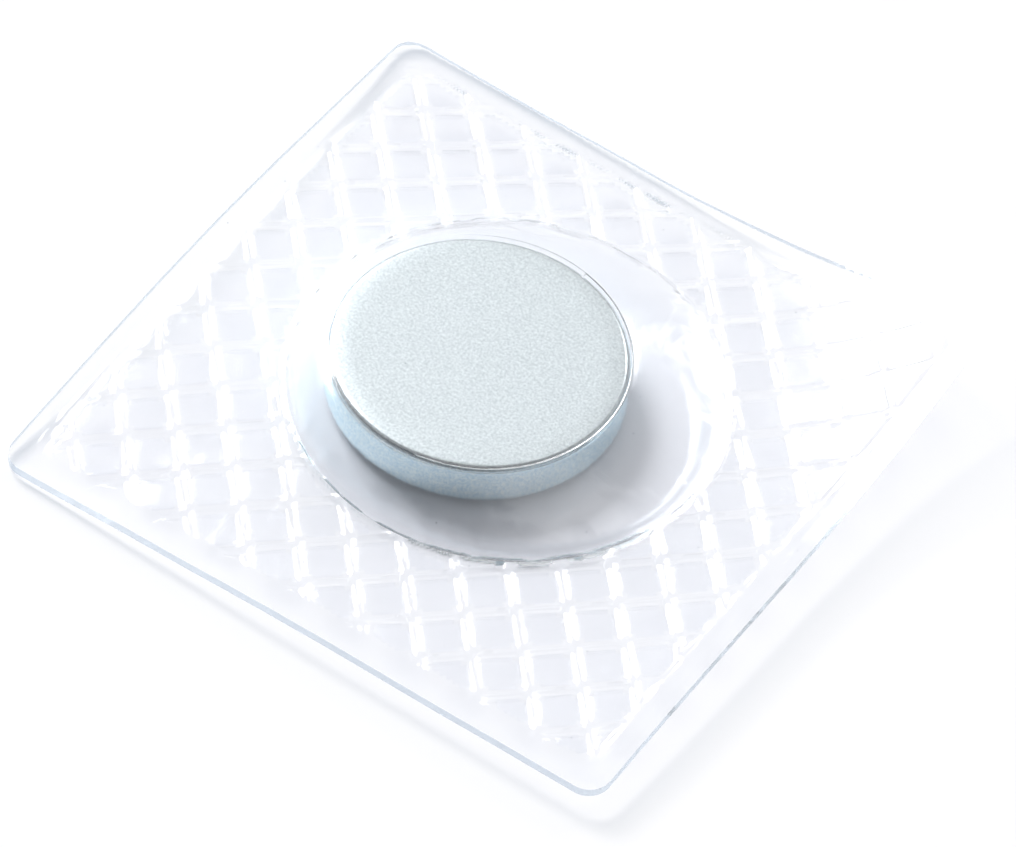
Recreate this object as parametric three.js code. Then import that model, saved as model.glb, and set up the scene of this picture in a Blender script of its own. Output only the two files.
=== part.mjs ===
// Sew-in magnet: a disc magnet loose in the round pocket of a square, welded, clear PVC pouch.
// Millimetres, +Z up. The pouch lies on the ground plane z = 0, and the origin is the middle of the
// round pocket's flat underside. The pouch's straight edges run along X and Y, and the pocket is a
// little off its centre.

import * as THREE from 'three';

// Driving dimensions
const SHEET_SIDE = 35;            // cut size of the square pouch
const SHEET_CENTRE = { x: 0.15, y: -0.9 };
const CORNER_RADIUS = 1.2;        // rounding of the four cut corners
const FILM = 0.22;                // thickness of each film
const WELD_GAP = 0.04;            // space kept between the two films where they are welded
const CLEARANCE = 0.06;           // space kept between the magnet and each film

const MAGNET_RADIUS = 7.5;
const MAGNET_THICKNESS = 2.5;
const MAGNET_RIM = 0.35;          // rounding of the magnet's two rims
const MAGNET_TRAVEL = 3.6;        // how far the magnet slides across the pocket, along X

const WELD_RADIUS = 10.9;         // inner edge of the weld, where the films meet
const WELD_HEIGHT = 1.0;          // underside of the lower film at the weld's inner edge

// Height of the lower film's underside at the corners and at the middles of the edges. The pouch
// isn't flat: one corner curls up, and the others hang towards the ground. Each height acts from a
// distance out of the sheet's centre, and power says how late towards the cut edge it is reached.
const CORNER_START = 10.7;
const CORNER_HEIGHTS = [
  { x: -1, y: -1, height: 0.1, power: 1.3 },
  { x: 1, y: -1, height: 0.9, power: 1.3 },
  { x: 1, y: 1, height: 4.3, power: 2.2 },
  { x: -1, y: 1, height: 0.1, power: 1.3 },
];
const EDGE_HEIGHTS = [
  { x: 0, y: -1, height: 0.8 },
  { x: 1, y: 0, height: 1.5 },
  { x: 0, y: 1, height: 0.3 },
  { x: -1, y: 0, height: 1.3 },
];
const EDGE_START = 8.6;
const EDGE_POWER = 1.5;

const SIDE_STEPS = 14;            // facets along each straight side of the pouch
const CORNER_STEPS = 4;           // facets round each of its corners
const POCKET_RINGS = 4;           // rings of facets up each drawn pocket wall
const WELD_RINGS = 6;             // rings of facets from the pocket out to the cut edge
const MAGNET_FACETS = 72;         // facets round the magnet
const RIM_STEPS = 3;              // facets across each rounded rim of the magnet

// Where the drawn walls of the pocket start, just outside the magnet's whole travel
const FLOOR_RADIUS = MAGNET_RADIUS + MAGNET_TRAVEL / 2 + 0.15;
const MAGNET_BOTTOM = FILM + CLEARANCE;
const ROOF_HEIGHT = MAGNET_BOTTOM + MAGNET_THICKNESS + CLEARANCE;

function smooth(t) {
  const s = Math.min(1, Math.max(0, t));
  return s * s * (3 - 2 * s);
}

// Height of the lower film's underside in the welded part of the pouch
function weldHeight(pocketX, pocketY) {
  const x = pocketX - SHEET_CENTRE.x;
  const y = pocketY - SHEET_CENTRE.y;
  const half = SHEET_SIDE / 2;
  let z = WELD_HEIGHT;
  for (const c of CORNER_HEIGHTS) {
    const out = (x * c.x + y * c.y) / Math.SQRT2;
    const t = Math.max(0, out - CORNER_START) / (half * Math.SQRT2 - CORNER_START);
    z += (c.height - WELD_HEIGHT) * t ** c.power;
  }
  for (const e of EDGE_HEIGHTS) {
    const t = Math.max(0, x * e.x + y * e.y - EDGE_START) / (half - EDGE_START);
    const across = (x * e.y + y * e.x) / half;
    z += (e.height - WELD_HEIGHT) * t ** EDGE_POWER * Math.max(0, 1 - across * across);
  }
  return z;
}

// Points round the rounded square's outline, anticlockwise: each corner's arc, then a straight side
function outlinePoints() {
  const centre = SHEET_SIDE / 2 - CORNER_RADIUS;
  const points = [];
  for (let corner = 0; corner < 4; corner++) {
    const turn = (corner * Math.PI) / 2;
    const place = (x, y) => points.push(new THREE.Vector2(x, y).rotateAround(new THREE.Vector2(), turn));
    for (let k = 0; k <= CORNER_STEPS; k++) {
      const a = ((k / CORNER_STEPS) * Math.PI) / 2;
      place(centre + CORNER_RADIUS * Math.cos(a), centre + CORNER_RADIUS * Math.sin(a));
    }
    for (let k = 1; k < SIDE_STEPS; k++) {
      place(centre - (2 * centre * k) / SIDE_STEPS, centre + CORNER_RADIUS);
    }
  }
  return points.map((p) => p.add(SHEET_CENTRE));
}

// A closed body between two surfaces over the rounded square. Rings of points run from the pocket's
// flat middle to the cut edge, each with a lower and an upper height.
function filmGeometry(lowerHeight, upperHeight) {
  const outline = outlinePoints();
  const spokes = outline.length;
  const rings = [];
  for (let k = 0; k < POCKET_RINGS; k++) {
    const radius = FLOOR_RADIUS + ((WELD_RADIUS - FLOOR_RADIUS) * k) / POCKET_RINGS;
    rings.push((p) => p.clone().setLength(radius));
  }
  for (let k = 0; k <= WELD_RINGS; k++) {
    rings.push((p) => p.clone().setLength(WELD_RADIUS).lerp(p, k / WELD_RINGS));
  }
  const positions = [];
  for (const height of [lowerHeight, upperHeight]) {
    positions.push(0, 0, height(0, 0));
    for (const ring of rings) {
      for (const p of outline.map(ring)) positions.push(p.x, p.y, height(p.x, p.y));
    }
  }
  const perSide = 1 + rings.length * spokes;
  const index = (side, ring, i) => side * perSide + 1 + ring * spokes + (i % spokes);
  const faces = [];
  const quad = (a, b, c, d) => faces.push(a, b, c, a, c, d);
  const edge = rings.length - 1;
  for (let i = 0; i < spokes; i++) {
    faces.push(0, index(0, 0, i + 1), index(0, 0, i));
    faces.push(perSide, index(1, 0, i), index(1, 0, i + 1));
    for (let k = 0; k < edge; k++) {
      quad(index(0, k, i), index(0, k, i + 1), index(0, k + 1, i + 1), index(0, k + 1, i));
      quad(index(1, k, i), index(1, k + 1, i), index(1, k + 1, i + 1), index(1, k, i + 1));
    }
    quad(index(0, edge, i), index(0, edge, i + 1), index(1, edge, i + 1), index(1, edge, i));
  }
  const geometry = new THREE.BufferGeometry();
  geometry.setAttribute('position', new THREE.Float32BufferAttribute(positions, 3));
  geometry.setIndex(faces);
  geometry.computeVertexNormals();
  return geometry;
}

// How far along its drawn wall a point is: 0 on the pocket's flat middle, 1 at the weld and outside
function wallShare(x, y) {
  return smooth((Math.hypot(x, y) - FLOOR_RADIUS) / (WELD_RADIUS - FLOOR_RADIUS));
}

// The lower film is a shallow tray under the magnet
function bottomFilm() {
  const underside = (x, y) => weldHeight(x, y) * wallShare(x, y);
  return filmGeometry(underside, (x, y) => underside(x, y) + FILM);
}

// The upper film is a dome that clears the magnet over its whole travel
function topFilm() {
  const underside = (x, y) => {
    const seat = weldHeight(x, y) + FILM + WELD_GAP;
    return ROOF_HEIGHT + (seat - ROOF_HEIGHT) * wallShare(x, y);
  };
  return filmGeometry(underside, (x, y) => underside(x, y) + FILM);
}

// The disc's half section, turned about Z: both rims are rounded
function magnetDisc() {
  const profile = [new THREE.Vector2(0, 0)];
  const centre = MAGNET_RADIUS - MAGNET_RIM;
  for (let k = 0; k <= RIM_STEPS; k++) {
    const a = ((k / RIM_STEPS) * Math.PI) / 2;
    profile.push(new THREE.Vector2(centre + MAGNET_RIM * Math.sin(a), MAGNET_RIM * (1 - Math.cos(a))));
  }
  for (let k = 0; k <= RIM_STEPS; k++) {
    const a = ((k / RIM_STEPS) * Math.PI) / 2;
    const z = MAGNET_THICKNESS - MAGNET_RIM * (1 - Math.sin(a));
    profile.push(new THREE.Vector2(centre + MAGNET_RIM * Math.cos(a), z));
  }
  profile.push(new THREE.Vector2(0, MAGNET_THICKNESS));
  const geometry = new THREE.LatheGeometry(profile, MAGNET_FACETS);
  geometry.rotateX(Math.PI / 2);
  return geometry;
}

function mesh(name, geometry, material) {
  const piece = new THREE.Mesh(geometry, new THREE.MeshStandardMaterial(material));
  piece.name = name;
  return piece;
}

const clearPvc = { color: 0xeef2fb, roughness: 0.12, metalness: 0, transparent: true, opacity: 0.3 };
const zincPlating = { color: 0xc3d3d9, roughness: 0.45, metalness: 0.9 };

const group = new THREE.Group();
group.add(mesh('bottom_film', bottomFilm(), clearPvc));
group.add(mesh('top_film', topFilm(), clearPvc));

// At rest the magnet lies at the -X end of its travel
const magnet = mesh('magnet_disc', magnetDisc(), zincPlating);
magnet.position.set(-MAGNET_TRAVEL / 2, 0, MAGNET_BOTTOM);
group.add(magnet);

export default group;
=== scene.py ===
import math

import bpy
import numpy as np
from mathutils import Matrix, Vector


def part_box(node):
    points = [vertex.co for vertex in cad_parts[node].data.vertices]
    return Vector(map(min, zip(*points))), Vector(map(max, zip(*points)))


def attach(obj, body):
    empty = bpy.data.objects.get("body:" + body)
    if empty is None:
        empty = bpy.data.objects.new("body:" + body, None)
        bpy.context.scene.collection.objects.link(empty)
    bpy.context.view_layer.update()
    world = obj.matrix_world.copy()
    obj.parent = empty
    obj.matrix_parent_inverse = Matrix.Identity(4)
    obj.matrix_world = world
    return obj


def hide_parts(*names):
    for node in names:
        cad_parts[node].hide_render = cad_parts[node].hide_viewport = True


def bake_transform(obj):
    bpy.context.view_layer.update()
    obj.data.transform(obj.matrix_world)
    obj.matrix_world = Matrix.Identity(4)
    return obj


# The looks of a sew-in magnet: a clear PVC pouch with a waffle emboss, a round pocket drawn up in its
# middle, and a zinc-plated disc magnet loose in the pocket.

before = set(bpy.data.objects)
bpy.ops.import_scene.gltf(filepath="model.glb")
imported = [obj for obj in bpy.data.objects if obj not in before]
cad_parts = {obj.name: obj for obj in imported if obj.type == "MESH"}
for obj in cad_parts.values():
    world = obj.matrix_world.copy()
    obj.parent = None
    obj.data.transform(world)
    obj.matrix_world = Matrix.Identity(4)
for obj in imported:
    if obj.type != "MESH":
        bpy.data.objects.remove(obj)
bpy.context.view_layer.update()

# Sizes are in millimetres until a mesh is made, and metres after that
MM = 0.001

# What the CAD model says, read back from its nodes
magnet_low, magnet_high = (np.array(corner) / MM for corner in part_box("magnet_disc"))
film_low, film_high = (np.array(corner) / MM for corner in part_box("bottom_film"))
MAGNET_CENTRE = (magnet_low + magnet_high)[:2] / 2
MAGNET_RADIUS = (magnet_high - magnet_low)[0] / 2
MAGNET_BOTTOM = magnet_low[2]
MAGNET_TOP = magnet_high[2]
SHEET_CENTRE = (film_low + film_high)[:2] / 2
SHEET_SIDE = (film_high - film_low)[0]

# The pouch, as in the CAD model
FILM = 0.22                 # thickness of one film
SHEET = 2 * FILM + 0.04     # thickness of the two films welded together
CORNER_RADIUS = 1.2
WELD_RADIUS = 10.9          # inner edge of the weld round the pocket
WELD_HEIGHT = 1.0
TRAVEL_CENTRE = 1.8         # how far each end of the magnet's travel is from the pocket's middle
CORNER_START = 10.7
CORNER_HEIGHTS = ((-1, -1, 0.1, 1.3), (1, -1, 0.9, 1.3), (1, 1, 4.3, 2.2), (-1, 1, 0.1, 1.3))
EDGE_START = 8.6
EDGE_POWER = 1.5
EDGE_HEIGHTS = ((0, -1, 0.8), (1, 0, 1.5), (0, 1, 0.3), (-1, 0, 1.3))

# The waffle emboss: a square lattice of ribs, turned to the sheet's edges
PITCH = 2.5
LATTICE_ANGLE = 0.739       # direction of the first set of ribs, in radians from +X
ROW_SHIFT = -1.27           # where a rib of that set passes the pocket's middle
RIB_SHIFT = 0.94            # and a rib of the set across it
RIB_WIDTH = 0.48            # rib's width at its foot
RIB_RISE = 0.10             # rib's height over the pads
PAD_CORNER = 0.2            # rounding of each pad's corners
PAD_UNEVEN = 0.2            # how much the pads' depth varies over the sheet, as a share of it
UNDERSIDE_SHARE = 0.35      # the underside's relief, as a share of the upper side's
MARGIN = 1.55               # plain margin between the waffle and the cut edge
RING_WIDTH = 0.25           # plain ring between the waffle and the pocket
RING_STEEPNESS = 1.6        # how much steeper the pads end at the ring than at a rib
RING_DEEPER = 0.4           # how much deeper they are beside it, as a share of their depth
RING_REACH = 0.5            # and over what distance

# The air between the two films, a flat lens in each pad
AIR_INSET = 0.02            # least distance from a pad's edge to the air
AIR_EDGE = 0.2              # width over which the lens reaches its full thickness
AIR_HEIGHT = 0.015          # half of that thickness
AIR_LEVEL = 0.42            # its height in the sheet, as a share of the sheet's thickness

# Unevenness and small marks in the sheet
SLOW_WAVE = 0.02            # height of the sheet's long waves
QUICK_WAVE = 0.005          # and of its short ones
DENT_COUNT = 70             # handling marks, scattered
DENT_HEIGHT = 0.035         # the highest and the deepest of them
DENT_LENGTHS = (0.3, 1.2)
DENT_WIDTHS = (0.12, 0.32)
STAR_PLACE = (0.85, -1.5)   # the star mark's middle, from the sheet's corner at -X and +Y
STAR_POINTS = 5
STAR_RADIUS = 0.6
STAR_RISE = 0.07
LINE_OUTSIDE = 0.45         # the margin's raised line, out from the waffle
LINE_WIDTH = 0.1
LINE_RISE = 0.035
BEAD_INSET = 0.42           # the row of beads, in from the +Y edge
BEAD_WIDTH = 0.16
BEAD_PITCH = 0.55
BEAD_RISE = 0.05

# The dome
DOME_FILM = 0.15            # thickness of the upper film where it is drawn out into the dome
DOME_SPOKES = 360
ROOF_GAP = 0.05             # between the magnet's top and the film over it
CONTACT_INSET = 0.03        # the film leaves the magnet's top this far inside its side
NEAR_SHOULDER = 0.3         # how softly the film turns down on the side where the magnet lies
TENT_SHARE = 0.85           # part of the far side's fall that follows a curve, the rest being straight
TENT_END = 0.92             # share of the way to the weld where that curve gives way to a straight finish
TENT_LEFT = 0.174           # part of the curve's fall that is left there
THINNING_START = 0.6        # share of the way to the weld where the film starts to thin
LIP_WIDTH = 0.12            # how far the dome's thin lip lies on the ring
LIP_SHARES = (0.12, 0.67)   # its thinnest and thickest stretches, as shares of the dome's film
LIP_CHANGE = 0.15           # distance over which it goes from one to the other
LIP_TAPER = 0.7             # share of its thickness that is gone at its outer edge
SEAT_GAP = 0.01             # between the lip and the sheet

# The grids and the cut
COARSE_STEPS = 9                # grid steps per pitch on the sheet's plain underside
FINE_STEPS = 2 * COARSE_STEPS   # and on its upper side
LATTICE_REACH = 11              # how many pitches the grid reaches, each way from the middle
SLAB_SPARE = 0.5                # how far the sheet reaches past its outline before it is cut
CUTTER_HEIGHTS = (-4, 12)       # bottom and top of the block that cuts it
TRAY_SPARE = 0.1                # flat floor left round the magnet's travel

# The magnet
MAGNET_RIM = 0.45           # rounding of its two rims
MAGNET_FACETS = 200


# ---------------------------------------------------------------- shapes as functions of x and y

def smooth(t):
    t = np.clip(t, 0, 1)
    return t * t * (3 - 2 * t)


def between(random, low, high):
    return low + (high - low) * random.rand()


def weld_height(x, y):
    """Height of the welded sheet's underside."""
    x = x - SHEET_CENTRE[0]
    y = y - SHEET_CENTRE[1]
    half = SHEET_SIDE / 2
    z = np.full(np.shape(x), WELD_HEIGHT)
    for cx, cy, height, power in CORNER_HEIGHTS:
        out = (x * cx + y * cy) / math.sqrt(2)
        t = np.maximum(0, out - CORNER_START) / (half * math.sqrt(2) - CORNER_START)
        z += (height - WELD_HEIGHT) * t ** power
    for ex, ey, height in EDGE_HEIGHTS:
        t = np.maximum(0, x * ex + y * ey - EDGE_START) / (half - EDGE_START)
        across = (x * ey + y * ex) / half
        z += (height - WELD_HEIGHT) * t ** EDGE_POWER * np.maximum(0, 1 - across * across)
    return z


def ripple(x, y, seed, shortest, longest, waves=14):
    """Smooth uneven waviness, mostly between -1 and 1, the same on each run."""
    random = np.random.RandomState(seed)
    total = np.zeros(np.shape(x))
    for _ in range(waves):
        length = between(random, shortest, longest)
        angle = 2 * math.pi * random.rand()
        phase = 2 * math.pi * random.rand()
        along = x * math.cos(angle) + y * math.sin(angle)
        total += np.sin(2 * math.pi * along / length + phase)
    return total / math.sqrt(waves)


def dents(x, y):
    """Small handling marks in the film, scattered the same way on each run."""
    random = np.random.RandomState(11)
    total = np.zeros(np.shape(x))
    for _ in range(DENT_COUNT):
        cx, cy = SHEET_CENTRE + (random.rand(2) - 0.5) * SHEET_SIDE
        angle = math.pi * random.rand()
        length = between(random, *DENT_LENGTHS)
        width = between(random, *DENT_WIDTHS)
        height = between(random, -DENT_HEIGHT, DENT_HEIGHT)
        along = (x - cx) * math.cos(angle) + (y - cy) * math.sin(angle)
        across = (y - cy) * math.cos(angle) - (x - cx) * math.sin(angle)
        total += height * np.exp(-(along / length) ** 2 - (across / width) ** 2)
    return total


def sheet_wave(x, y):
    """Unevenness that both sides of the sheet share."""
    slow = ripple(x, y, seed=3, shortest=4, longest=14)
    quick = ripple(x, y, seed=4, shortest=1.2, longest=3, waves=20)
    return SLOW_WAVE * slow + QUICK_WAVE * quick + dents(x, y)


def rounded_box_distance(x, y, half, radius):
    """Distance outside a rounded square of that half side: negative inside it."""
    qx = np.abs(x) - (half - radius)
    qy = np.abs(y) - (half - radius)
    outside = np.hypot(np.maximum(qx, 0), np.maximum(qy, 0))
    return outside + np.minimum(np.maximum(qx, qy), 0) - radius


def outline_distance(x, y, inset=0.0):
    """Distance outside the pouch's outline when that is drawn in by inset: negative inside it."""
    half = SHEET_SIDE / 2 - inset
    return rounded_box_distance(x - SHEET_CENTRE[0], y - SHEET_CENTRE[1], half, CORNER_RADIUS)


def star_mark(x, y):
    """A small puckered mark in the margin by one corner."""
    corner = SHEET_CENTRE + SHEET_SIDE / 2 * np.array([-1, 1])
    cx, cy = corner + STAR_PLACE
    radius = np.hypot(x - cx, y - cy) / STAR_RADIUS
    turn = np.arctan2(y - cy, x - cx)
    return STAR_RISE * (1 + np.cos(STAR_POINTS * turn + 1)) * radius * np.exp(-radius ** 2)


def margin_line(x, y):
    """A fine raised line in the plain margin, pressed by the edge of the welding die."""
    outside = outline_distance(x, y, MARGIN - LINE_OUTSIDE)
    return LINE_RISE * np.exp(-(outside / LINE_WIDTH) ** 2)


def edge_beads(x, y):
    """A row of small beads that the die left along the +Y edge."""
    inside = SHEET_CENTRE[1] + SHEET_SIDE / 2 - BEAD_INSET - y
    return BEAD_RISE * np.exp(-(inside / BEAD_WIDTH) ** 2) * np.cos(math.pi * x / BEAD_PITCH) ** 2


def lattice_axes():
    c, s = math.cos(LATTICE_ANGLE), math.sin(LATTICE_ANGLE)
    return (c, s), (-s, c)


def rib_distance(x, y):
    """Distance outside the nearest square between the ribs: negative inside it."""
    (ax, ay), (bx, by) = lattice_axes()
    u = (x * ax + y * ay - RIB_SHIFT) / PITCH
    v = (x * bx + y * by - ROW_SHIFT) / PITCH
    u = (u - np.floor(u) - 0.5) * PITCH
    v = (v - np.floor(v) - 0.5) * PITCH
    return rounded_box_distance(u, v, (PITCH - RIB_WIDTH) / 2, PAD_CORNER)


def pad_inside(x, y):
    """How far inside a sunk pad a point is: negative on ribs, margin and ring."""
    rib = rib_distance(x, y)
    edge = outline_distance(x, y, MARGIN)
    ring = RING_STEEPNESS * (WELD_RADIUS + RING_WIDTH - np.hypot(x, y))
    return -np.maximum(np.maximum(rib, edge), ring)


def pad_depth(x, y):
    """0 on the crest of a rib, 1 on a pad."""
    t = np.clip(1 + pad_inside(x, y) / (RIB_WIDTH / 2), 0, 1)
    return np.sin(t * math.pi / 2) ** 2


def tray_share(x, y):
    """0 where the lower film lies flat under the magnet's travel, 1 at the weld and outside."""
    past = np.maximum(np.abs(x) - TRAVEL_CENTRE, 0)
    outside = np.maximum(np.hypot(past, y) - MAGNET_RADIUS - TRAY_SPARE, 0)
    to_weld = np.maximum(WELD_RADIUS - np.hypot(x, y), 0)
    never_zero = 1e-6
    return smooth(outside / (outside + to_weld + never_zero))


def sheet_heights(x, y):
    """Heights of the welded sheet's underside and upper side, with the lower film's tray."""
    from_ring = np.hypot(x, y) - WELD_RADIUS - RING_WIDTH
    by_ring = RING_DEEPER * np.exp(-(from_ring / RING_REACH) ** 2)
    uneven = PAD_UNEVEN * ripple(x, y, seed=5, shortest=2, longest=6)
    depth = RIB_RISE * pad_depth(x, y) * (1 + uneven + by_ring)
    tray = tray_share(x, y)
    base = (weld_height(x, y) + sheet_wave(x, y)) * tray
    low = base + UNDERSIDE_SHARE * depth
    high = base + FILM + (SHEET - FILM) * tray - depth
    return low, high + margin_line(x, y) + edge_beads(x, y) + star_mark(x, y)


# ---------------------------------------------------------------- meshes

def mesh_object(name, points, faces, sharp_angle=50):
    """An object with a smooth-shaded mesh, from points in millimetres."""
    mesh = bpy.data.meshes.new(name)
    mesh.from_pydata((np.asarray(points) * MM).tolist(), [], [list(map(int, f)) for f in faces])
    mesh.validate()
    mesh.polygons.foreach_set("use_smooth", [True] * len(mesh.polygons))
    mesh.set_sharp_from_angle(angle=math.radians(sharp_angle))
    piece = bpy.data.objects.new(name, mesh)
    bpy.context.scene.collection.objects.link(piece)
    return piece


def circle(radius, count, centre=(0, 0)):
    a = np.arange(count) * 2 * math.pi / count
    return np.column_stack([centre[0] + radius * np.cos(a), centre[1] + radius * np.sin(a)])


def rounded_square(half, radius, corner_steps, side_steps):
    """Points round a rounded square about the origin, anticlockwise."""
    inner = half - radius
    points = []
    for turn in range(4):
        c, s = round(math.cos(turn * math.pi / 2)), round(math.sin(turn * math.pi / 2))
        side = []
        for k in range(corner_steps + 1):
            a = k / corner_steps * math.pi / 2
            side.append((inner + radius * math.cos(a), inner + radius * math.sin(a)))
        for k in range(1, side_steps):
            side.append((inner - 2 * inner * k / side_steps, half))
        points += [(x * c - y * s, x * s + y * c) for x, y in side]
    return np.array(points)


def revolve(name, rings, sharp_angle=50):
    """A closed body from rings of points, each the same number, between a first and a last point."""
    first, *middle, last = rings
    count = len(middle[0])
    points = [first] + [p for ring in middle for p in ring] + [last]
    end = len(points) - 1

    def index(ring, i):
        return 1 + ring * count + i % count

    faces = []
    for i in range(count):
        faces.append((0, index(0, i + 1), index(0, i)))
        faces.append((end, index(len(middle) - 1, i), index(len(middle) - 1, i + 1)))
        for k in range(len(middle) - 1):
            faces.append((index(k, i), index(k, i + 1), index(k + 1, i + 1), index(k + 1, i)))
    return mesh_object(name, points, faces, sharp_angle)


def lattice_grid(steps):
    """A square grid of x and y along the ribs, reaching past the sheet's corners."""
    (ax, ay), (bx, by) = lattice_axes()
    reach = LATTICE_REACH * steps
    k = np.arange(-reach, reach + 1) * PITCH / steps
    u, v = np.meshgrid(k + RIB_SHIFT, k + ROW_SHIFT, indexing="ij")
    return u * ax + v * bx, u * ay + v * by


def grid_points(x, y, z):
    return np.column_stack([x.ravel(), y.ravel(), z.ravel()])


def grid_quads(grid, i, j):
    """The cells i, j of a grid of point numbers, as four-sided faces."""
    return np.column_stack([grid[i, j], grid[i + 1, j], grid[i + 1, j + 1], grid[i, j + 1]])


def cell_corners(values):
    """A grid's values at the four corners of each cell."""
    return values[:-1, :-1], values[1:, :-1], values[:-1, 1:], values[1:, 1:]


def slab_walls(keep, under, over):
    """Faces down the sides of the kept cells. Each joins two lower points to three upper ones."""
    i, j = np.nonzero(keep)
    padded = np.pad(keep, 1)
    corners = ((0, 0), (1, 0), (1, 1), (0, 1))
    faces = []
    # Each side of a cell: which way it faces, and the two corners that it runs between
    for di, dj, start, end in ((-1, 0, 3, 0), (1, 0, 1, 2), (0, -1, 0, 1), (0, 1, 2, 3)):
        bare = ~padded[i + 1 + di, j + 1 + dj]
        pi, pj = i[bare] + corners[start][0], j[bare] + corners[start][1]
        qi, qj = i[bare] + corners[end][0], j[bare] + corners[end][1]
        top = over[2 * qi, 2 * qj], over[pi + qi, pj + qj], over[2 * pi, 2 * pj]
        faces += np.column_stack([under[pi, pj], under[qi, qj], *top]).tolist()
    return faces


def waffle_slab():
    """The two films' weld and the lower film's tray, a little larger than they are cut."""
    x, y = lattice_grid(COARSE_STEPS)
    low = sheet_heights(x, y)[0]
    fine_x, fine_y = lattice_grid(FINE_STEPS)
    high = sheet_heights(fine_x, fine_y)[1]
    middle_x = sum(cell_corners(x)) / 4 - SHEET_CENTRE[0]
    middle_y = sum(cell_corners(y)) / 4 - SHEET_CENTRE[1]
    keep = np.maximum(np.abs(middle_x), np.abs(middle_y)) < SHEET_SIDE / 2 + SLAB_SPARE
    keep_fine = np.kron(keep, np.ones((2, 2), bool))
    under = np.arange(x.size).reshape(x.shape)
    over = np.arange(high.size).reshape(high.shape) + x.size
    faces = grid_quads(under, *np.nonzero(keep))[:, [0, 3, 2, 1]].tolist()
    faces += grid_quads(over, *np.nonzero(keep_fine)).tolist()
    faces += slab_walls(keep, under, over)
    points = np.vstack([grid_points(x, y, low), grid_points(fine_x, fine_y, high)])
    used = np.unique(np.concatenate(faces))
    renumbered = np.zeros(len(points), int)
    renumbered[used] = np.arange(len(used))
    return points[used], [renumbered[face] for face in faces]


def pad_air():
    """The flat lenses of air between the two films, one in each pad, as closed shells facing in."""
    x, y = lattice_grid(COARSE_STEPS)
    half = smooth((pad_inside(x, y) - AIR_INSET) / AIR_EDGE) * AIR_HEIGHT
    keep = np.all(cell_corners(half > 0), axis=0)
    inner = np.all(cell_corners(np.pad(keep, 1)), axis=0)
    half = np.where(inner, half, 0)
    keep &= np.any(cell_corners(inner), axis=0)
    middle = weld_height(x, y) + sheet_wave(x, y) + AIR_LEVEL * SHEET
    lower = np.arange(x.size).reshape(x.shape)
    upper = np.where(inner, lower + x.size, lower)
    i, j = np.nonzero(keep)
    faces = np.vstack([grid_quads(lower, i, j), grid_quads(upper, i, j)[:, ::-1]])
    points = np.vstack([grid_points(x, y, middle - half), grid_points(x, y, middle + half)])
    used, renumbered = np.unique(faces, return_inverse=True)
    return points[used], renumbered.reshape(faces.shape)


def sheet_cutter():
    """A tall block with the pouch's outline."""
    outline = rounded_square(SHEET_SIDE / 2, CORNER_RADIUS, 10, 60) + SHEET_CENTRE
    count = len(outline)
    points = [(x, y, z) for z in CUTTER_HEIGHTS for x, y in outline]
    faces = [tuple(range(count))[::-1], tuple(range(count, 2 * count))]
    faces += [(i, (i + 1) % count, (i + 1) % count + count, i + count) for i in range(count)]
    return mesh_object("cutter", points, faces)


def mark_faces(piece, solid_faces):
    """Second material for the sheet's outer wall, left by the die, and third for the air's shells."""
    for face in piece.data.polygons:
        x, y = np.array(face.center)[:2] / MM
        on_outline = outline_distance(x, y) > -0.02
        upright = abs(face.normal.z) < 0.6
        if face.index >= solid_faces:
            face.material_index = 2
        elif on_outline and upright:
            face.material_index = 1


def welded_sheet():
    """The waffle slab cut to the pouch's outline, with the air in its pads."""
    points, faces = waffle_slab()
    slab = mesh_object("slab", points, faces, 180)
    cutter = sheet_cutter()
    cut = slab.modifiers.new("cut", "BOOLEAN")
    cut.operation = "INTERSECT"
    cut.solver = "MANIFOLD"
    cut.object = cutter
    depsgraph = bpy.context.evaluated_depsgraph_get()
    mesh = bpy.data.meshes.new_from_object(slab.evaluated_get(depsgraph))
    bpy.data.objects.remove(slab)
    bpy.data.objects.remove(cutter)
    solid = np.array([v.co for v in mesh.vertices]) / MM
    solid_faces = [tuple(f.vertices) for f in mesh.polygons]
    air, air_faces = pad_air()
    faces = solid_faces + [tuple(f) for f in air_faces + len(solid)]
    piece = mesh_object("welded_sheet", np.vstack([solid, air]), faces)
    mark_faces(piece, len(solid_faces))
    return piece


def seat_height(x, y):
    """Height of the dome's underside where it lies on the welded sheet."""
    return weld_height(x, y) + sheet_wave(x, y) + SHEET + SEAT_GAP


def wall_fall(share, near_side):
    """How far the dome has fallen, from 0 at the roof to 1 at the weld, at a share of the way out.

    Away from the magnet it hangs like a tent. On the near side, where near_side is 1, it turns down
    over the magnet's rim.
    """
    curve = 0.5 - math.sin(math.asin(1 - 2 * min(share, TENT_END)) / 3)
    curve += TENT_LEFT * max(0, share - TENT_END) / (1 - TENT_END)
    tent = TENT_SHARE * curve + (1 - TENT_SHARE) * share
    shoulder = math.hypot(share, NEAR_SHOULDER) - NEAR_SHOULDER
    shoulder /= math.hypot(1, NEAR_SHOULDER) - NEAR_SHOULDER
    return tent + (shoulder - tent) * near_side ** 0.7


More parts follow.
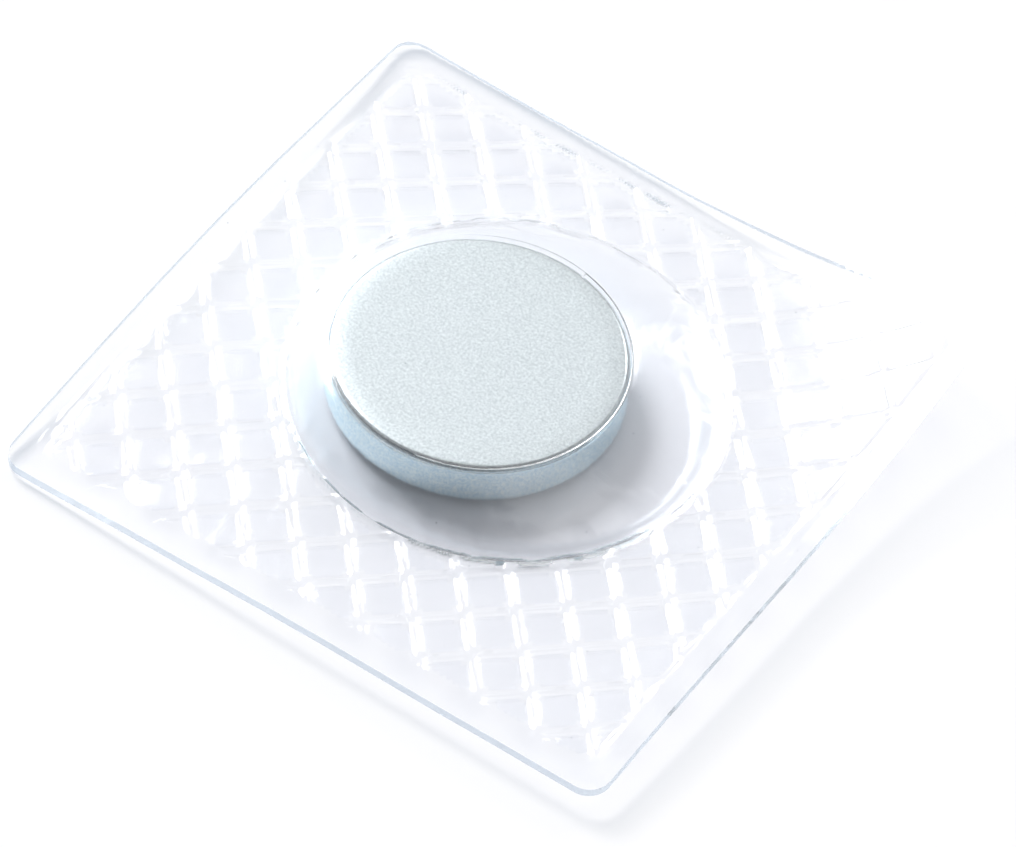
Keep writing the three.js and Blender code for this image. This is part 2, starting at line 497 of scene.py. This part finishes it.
def pocket_dome():
    """The upper film, drawn from the weld up over the magnet where it lies at rest."""
    direction = circle(1, DOME_SPOKES)
    near_side = (1 - direction[:, 0]) / 2
    along = direction @ MAGNET_CENTRE
    to_weld = -along + np.sqrt(along ** 2 + WELD_RADIUS ** 2 - MAGNET_CENTRE @ MAGNET_CENTRE)
    contact = MAGNET_RADIUS - CONTACT_INSET
    roof = MAGNET_TOP + ROOF_GAP
    thin, thick = LIP_SHARES
    beside_rib = -rib_distance(*(WELD_RADIUS * direction).T)
    lip_share = thin + (thick - thin) * smooth(beside_rib / LIP_CHANGE)

    # Each ring's place, its height and the film's thickness there, from the middle outwards: the
    # roof, the wall, whose rings lie closest where the film turns down, and the lip
    rings = []
    for radius in np.linspace(0.6, contact, 14)[:-1]:
        rings.append((MAGNET_CENTRE + radius * direction, np.full(DOME_SPOKES, roof), DOME_FILM))
    for share in np.linspace(0, 1, 57) ** 1.3:
        distance = contact + (to_weld - contact) * share
        place = MAGNET_CENTRE + distance[:, None] * direction
        height = roof + (seat_height(*place.T) - roof) * wall_fall(share, near_side)
        thinning = (1 - lip_share) * smooth((share - THINNING_START) / (1 - THINNING_START))
        rings.append((place, height, DOME_FILM * (1 - thinning)))
    outward = place / np.linalg.norm(place, axis=1)[:, None]
    for share in np.linspace(0, 1, 4)[1:]:
        place = outward * (WELD_RADIUS + LIP_WIDTH * share)
        film = DOME_FILM * lip_share * (1 - LIP_TAPER * share)
        rings.append((place, seat_height(*place.T), film))

    under = [np.column_stack([place, height]) for place, height, _ in rings]
    over = [np.column_stack([place, height + film]) for place, height, film in rings]
    first = (*MAGNET_CENTRE, roof)
    last = (*MAGNET_CENTRE, roof + DOME_FILM)
    return revolve("pocket_dome", [first] + under + over[::-1] + [last])


def magnet():
    """The disc, with soft rounded rims."""
    inner = MAGNET_RADIUS - MAGNET_RIM
    top = MAGNET_TOP - MAGNET_BOTTOM
    flat = np.linspace(1, inner, 8)[:-1]
    angles = np.linspace(0, math.pi / 2, 9)
    profile = [(r, 0) for r in flat]
    profile += [(inner + MAGNET_RIM * math.sin(a), MAGNET_RIM * (1 - math.cos(a))) for a in angles]
    profile += [(MAGNET_RADIUS, z) for z in np.linspace(MAGNET_RIM, top - MAGNET_RIM, 6)[1:-1]]
    profile += [(inner + MAGNET_RIM * math.cos(a), top - MAGNET_RIM * (1 - math.sin(a))) for a in angles]
    profile += [(r, top) for r in flat[::-1]]
    rings = []
    for radius, z in profile:
        ring = circle(radius, MAGNET_FACETS, MAGNET_CENTRE)
        rings.append(np.column_stack([ring, np.full(MAGNET_FACETS, MAGNET_BOTTOM + z)]))
    first = (*MAGNET_CENTRE, MAGNET_BOTTOM)
    last = (*MAGNET_CENTRE, MAGNET_TOP)
    return revolve("magnet", [first] + rings + [last], 60)


# ---------------------------------------------------------------- node trees

class Nodes:
    """Short calls for building the node tree of one material or world."""

    def __init__(self, owner, output):
        owner.use_nodes = True
        self.owner = owner
        self.tree = owner.node_tree
        self.tree.nodes.clear()
        self.output = self.add(output)
        self.place = self.add("ShaderNodeTexCoord").outputs

    def add(self, kind, sockets=(), **settings):
        """A node with its settings, and plain values for some of its sockets."""
        node = self.tree.nodes.new(kind)
        for name, value in settings.items():
            setattr(node, name, value)
        for name, value in dict(sockets).items():
            node.inputs[name].default_value = value
        return node

    def join(self, source, target):
        self.tree.links.new(source, target)

    def finish(self, surface):
        self.join(surface, self.output.inputs["Surface"])
        return self.owner

    def noise(self, scale, roughness=0.5):
        sockets = {"Scale": scale, "Detail": 3, "Roughness": roughness}
        node = self.add("ShaderNodeTexNoise", sockets)
        self.join(self.place["Object"], node.inputs["Vector"])
        return node.outputs["Fac"]

    def ramp(self, value, *stops):
        """Colours at positions from 0 to 1 along the value. A lone number is a grey."""
        node = self.add("ShaderNodeValToRGB")
        elements = node.color_ramp.elements
        while len(elements) < len(stops):
            elements.new(0.5)
        for element, (position, colour) in zip(elements, stops):
            element.position = position
            element.color = (*np.broadcast_to(colour, 3), 1)
        self.join(value, node.inputs["Fac"])
        return node.outputs["Color"]

    def bump(self, height, distance):
        node = self.add("ShaderNodeBump", {"Distance": distance, "Strength": 1.0})
        self.join(height, node.inputs["Height"])
        return node.outputs["Normal"]

    def height_of(self, direction):
        """The Z of a direction."""
        node = self.add("ShaderNodeSeparateXYZ")
        self.join(direction, node.inputs["Vector"])
        return node.outputs["Z"]

    def mix_shaders(self, first, second):
        """A node that turns one shader into the other. Its factor is left to the caller."""
        node = self.add("ShaderNodeMixShader")
        self.join(first, node.inputs[1])
        self.join(second, node.inputs[2])
        return node

    def mix_colours(self, first, second, **settings):
        """The same for two colours."""
        node = self.add("ShaderNodeMix", data_type="RGBA", **settings)
        self.join(first, node.inputs["A"])
        self.join(second, node.inputs["B"])
        return node


def material_nodes(name):
    return Nodes(bpy.data.materials.new(name), "ShaderNodeOutputMaterial")


# ---------------------------------------------------------------- materials

def clear_pvc(name, body, through):
    """PVC film with fine specks and a slight unevenness. Body is its own colour.

    Shadows and bounced light pass it as through says, so that the white floor shows evenly behind it.
    """
    n = material_nodes(name)
    glass = n.add("ShaderNodeBsdfPrincipled", {"Transmission Weight": 1.0, "Roughness": 0.12, "IOR": 1.53})
    speck = n.add("ShaderNodeTexVoronoi", {"Scale": 600})
    n.join(n.place["Object"], speck.inputs["Vector"])
    speck_grey = (0.35, 0.38, 0.43)
    tint = n.ramp(speck.outputs["Distance"], (0.018, speck_grey), (0.028, body))
    n.join(tint, glass.inputs["Base Color"])
    n.join(n.bump(n.noise(900), 0.00002), glass.inputs["Normal"])
    clear = n.add("ShaderNodeBsdfTransparent", {"Color": (*through, 1)})
    path = n.add("ShaderNodeLightPath")
    surface = glass.outputs["BSDF"]
    for ray in ("Is Shadow Ray", "Is Diffuse Ray"):
        mix = n.mix_shaders(surface, clear.outputs["BSDF"])
        n.join(path.outputs[ray], mix.inputs["Fac"])
        surface = mix.outputs["Shader"]
    return n.finish(surface)


def die_cut_edge():
    """The sheet's cut wall: pale blue, matt and half clear."""
    n = material_nodes("die_cut_edge")
    matt = n.add("ShaderNodeBsdfPrincipled", {"Base Color": (0.84, 0.895, 0.955, 1), "Roughness": 0.35})
    clear = n.add("ShaderNodeBsdfTransparent", {"Color": (0.81, 0.88, 0.95, 1)})
    mix = n.mix_shaders(matt.outputs["BSDF"], clear.outputs["BSDF"])
    mix.inputs["Fac"].default_value = 0.6
    return n.finish(mix.outputs["Shader"])


def zinc_plating():
    """Blue-white zinc with a fine grain, glossiest on the upper rim. Its side is painted lighter and bluer
    than its top: painted light for the side, which faces the shaded floor.
    """
    n = material_nodes("zinc_plating")
    metal = n.add("ShaderNodeBsdfPrincipled", {"Metallic": 1.0})
    grain = n.noise(7500, 0.65)
    face = n.ramp(grain, (0.32, (0.38, 0.42, 0.43)), (0.68, (0.60, 0.645, 0.64)))
    # Painted light: the side gets a lighter and bluer colour than the top. The surface's slope picks the
    # colour, not the lamps.
    side = n.ramp(grain, (0.32, (0.55, 0.76, 0.88)), (0.68, (0.90, 1.0, 1.0)))
    upright = n.height_of(n.place["Normal"])
    top_and_painted_side_colour = n.mix_colours(side, face)
    n.join(n.ramp(upright, (0.25, 0), (0.9, 1)), top_and_painted_side_colour.inputs["Factor"])
    n.join(top_and_painted_side_colour.outputs["Result"], metal.inputs["Base Color"])
    rough = n.ramp(upright, (0.1, 0.5), (0.5, 0.14), (0.8, 0.14), (0.97, 0.3))
    n.join(rough, metal.inputs["Roughness"])
    n.join(n.bump(grain, 0.000003), metal.inputs["Normal"])
    return n.finish(metal.outputs["BSDF"])


def floor_white():
    n = material_nodes("floor_white")
    sockets = {"Base Color": (0.87, 0.87, 0.88, 1), "Roughness": 0.8, "Specular IOR Level": 0.1}
    plain = n.add("ShaderNodeBsdfPrincipled", sockets)
    return n.finish(plain.outputs["BSDF"])


# ---------------------------------------------------------------- stage

CAMERA_AZIMUTH = math.radians(28.56)
CAMERA_ELEVATION = math.radians(49.83)
CAMERA_ROLL = math.radians(7.46)
CAMERA_DISTANCE = 587
CAMERA_TARGET = (0.71, -0.80, 0.0)
CAMERA_LENS = 425.2

SKY_TOWARDS = (-0.30, 0.55, 0.40)   # the sky brightens towards here: up, and behind the pouch
SKY_DARK = (0.08, 0.085, 0.10)
SKY_BRIGHT = (1.0, 1.0, 1.0)
SKY_HORIZON = (0.80, 0.80, 0.82)    # least brightness at the horizon, fading out upwards
SKY_STRENGTH = 0.92

FLOOR_HALF = 3.0                    # half of the floor's side, in metres


def camera():
    """A camera aimed at its target. Azimuth 0 looks along +Y."""
    a, e, r = CAMERA_AZIMUTH, CAMERA_ELEVATION, CAMERA_ROLL
    back = Vector((math.sin(a) * math.cos(e), -math.cos(a) * math.cos(e), math.sin(e)))
    right = Vector((math.cos(a), math.sin(a), 0))
    up = back.cross(right)
    right, up = math.cos(r) * right + math.sin(r) * up, math.cos(r) * up - math.sin(r) * right
    data = bpy.data.cameras.new("camera")
    data.lens = CAMERA_LENS
    data.sensor_width = 36
    data.clip_start = 0.01
    eye = bpy.data.objects.new("camera", data)
    bpy.context.scene.collection.objects.link(eye)
    turn = Matrix((right, up, back)).transposed().to_4x4()
    place = (Vector(CAMERA_TARGET) + back * CAMERA_DISTANCE) * MM
    eye.matrix_world = Matrix.Translation(place) @ turn
    bpy.context.scene.camera = eye


def softbox(name, azimuth, elevation, distance, size, power):
    """A square lamp aimed at the pouch, with its distance and size in metres.

    Azimuth is where it stands, in degrees from +X.
    """
    a, e = math.radians(azimuth), math.radians(elevation)
    away = Vector((math.cos(a) * math.cos(e), math.sin(a) * math.cos(e), math.sin(e)))
    data = bpy.data.lights.new(name, "AREA")
    data.shape = "SQUARE"
    data.size = size
    data.energy = power
    lamp = bpy.data.objects.new(name, data)
    bpy.context.scene.collection.objects.link(lamp)
    lamp.location = away * distance
    lamp.rotation_euler = away.to_track_quat("Z", "Y").to_euler()


def sky():
    """A white sky, darker towards the front, with a bright ring round the horizon."""
    n = Nodes(bpy.data.worlds.new("studio"), "ShaderNodeOutputWorld")
    direction = n.place["Generated"]
    towards = n.add("ShaderNodeVectorMath", {1: SKY_TOWARDS}, operation="DOT_PRODUCT")
    n.join(direction, towards.inputs[0])
    dome = n.ramp(towards.outputs["Value"], (0.1, SKY_DARK), (0.6, SKY_BRIGHT))
    horizon = n.ramp(n.height_of(direction), (0.02, SKY_HORIZON), (0.45, 0))
    brighter = n.mix_colours(dome, horizon, blend_type="LIGHTEN")
    brighter.inputs["Factor"].default_value = 1.0
    background = n.add("ShaderNodeBackground", {"Strength": SKY_STRENGTH})
    n.join(brighter.outputs["Result"], background.inputs["Color"])
    return n.finish(background.outputs["Background"])


def studio():
    """Sky, lamps and a plain white floor."""
    bpy.context.scene.world = sky()
    softbox("left", azimuth=156, elevation=39, distance=1.5, size=0.66, power=23.5)
    softbox("right", azimuth=86, elevation=30, distance=0.5, size=0.13, power=0.3)
    softbox("veil", azimuth=88, elevation=70, distance=0.5, size=0.14, power=0.07)
    corners = np.array([(-1, -1, 0), (1, -1, 0), (1, 1, 0), (-1, 1, 0)]) * FLOOR_HALF / MM
    floor = mesh_object("floor", corners, [(0, 1, 2, 3)])
    floor.data.materials.append(floor_white())
    view = bpy.context.scene.view_settings
    view.view_transform = "Standard"
    view.look = "None"


# ---------------------------------------------------------------- the object

camera()
studio()

pvc = clear_pvc("clear_pvc", body=(0.965, 0.97, 0.98), through=(0.975, 0.977, 0.985))
# A darker copy of the clear PVC for the pads' air and the pocket's dome. Its deeper tint, and the smaller
# share of light it lets through, are painted shade that darkens the pads and the floor under the pocket.
shade_darkened_pvc = clear_pvc("shade_darkened_pvc", body=(0.94, 0.947, 0.965), through=(0.94, 0.945, 0.958))

sheet = welded_sheet()
for material in (pvc, die_cut_edge(), shade_darkened_pvc):
    sheet.data.materials.append(material)
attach(sheet, "sleeve")
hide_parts("top_film", "bottom_film")

# The dome over the pocket, drawn over the magnet where it lies at rest
dome = pocket_dome()
# The dome's darker film is painted shade over the pocket's floor
dome.data.materials.append(shade_darkened_pvc)
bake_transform(dome)
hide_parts("top_film")

disc = magnet()
disc.data.materials.append(zinc_plating())
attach(disc, "magnet")
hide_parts("magnet_disc")
